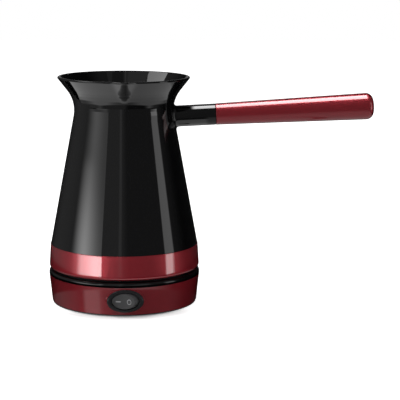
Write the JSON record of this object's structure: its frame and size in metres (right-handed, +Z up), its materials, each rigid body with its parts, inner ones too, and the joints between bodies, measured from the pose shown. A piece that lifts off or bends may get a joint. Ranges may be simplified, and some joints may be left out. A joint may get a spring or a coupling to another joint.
{
  "type": "electric turkish coffee maker",
  "caption": "Small electric coffee pot with flared mouth, V spout and long straight handle, which lifts off a round power base with a rocker switch.",
  "frame": {"origin": "centre of the rubber foot ring's underside, on the common axis of pot and base, at table height", "axes": "+Z up along the pot's axis, +X along the handle, -Y towards the spout and the switch"},
  "size_m": [0.2475, 0.1201, 0.1724],
  "materials": {
    "pot_black": "piano gloss black",
    "base_black": "gloss black",
    "red_metallic": "metallic dark red lacquer",
    "switch_black": "satin black",
    "cover_black": "fine grained black",
    "connector_black": "glass-filled black",
    "rubber_black": "matt",
    "silicone_grey": "silicone",
    "stainless": "brushed in rings",
    "aluminium": "bare",
    "element_sheath": "dull",
    "ceramic_white": "unglazed ceramic",
    "fuse_metal": "bare",
    "brass": "bright",
    "lead_silicone": "brown silicone insulation",
    "steel_zinc": "zinc plated"
  },
  "bodies": {
    "base": {"base_shell": "red_metallic", "base_top": "base_black", "base_bottom": "cover_black", "foot_ring": "rubber_black", "base_screws": "steel_zinc", "base_connector": "connector_black", "earth_contact": "brass", "line_contact": "brass", "neutral_contact": "brass", "tower_screws": "steel_zinc", "switch_housing": "switch_black", "switch_terminals": "brass", "base_receptacles": "brass", "switch_lead": "lead_silicone"},
    "rocker": {"rocker": "switch_black", "switch_plunger": "brass", "plunger_spring": "steel_zinc"},
    "switch_blade": {"switch_blade": "brass"},
    "jug": {"pot_shell": "pot_black", "trim_ring": "red_metallic", "heating_plate": "stainless", "plate_gasket": "silicone_grey", "clamp_ring": "stainless", "clamp_screws": "steel_zinc", "heat_spreader": "aluminium", "heating_element": "element_sheath", "element_beads": "ceramic_white", "element_pins": "stainless", "thermostat": "connector_black", "bimetal_disc": "stainless", "thermal_fuse": "fuse_metal", "jug_connector": "connector_black", "line_ring": "brass", "neutral_ring": "brass", "earth_pin": "brass", "jug_cover": "cover_black", "cover_screws": "steel_zinc", "connector_screws": "steel_zinc", "handle_grip": "red_metallic", "handle_core": "connector_black", "handle_screw": "steel_zinc", "pin_crimps": "brass", "jug_receptacles": "brass", "element_lead": "lead_silicone"}
  },
  "joints": [
    {"name": "rocker_tilt", "type": "hinge", "parent": "base", "child": "rocker", "pos_m": [0, -0.0547, 0.0127], "axis": [0, 0, 1], "range_deg": [0, 25]},
    {"name": "blade_tilt", "type": "hinge", "parent": "base", "child": "switch_blade", "pos_m": [0, -0.0472, 0.0127], "axis": [0, 0, 1], "range_deg": [-18, 0]},
    {"name": "jug_lift", "type": "slide", "parent": "base", "child": "jug", "axis": [0, 0, 1], "range_m": [0, 0.06]}
  ],
  "couplings": [
    {"joint": "blade_tilt", "follows": "rocker_tilt", "ratio": -0.72}
  ]
}
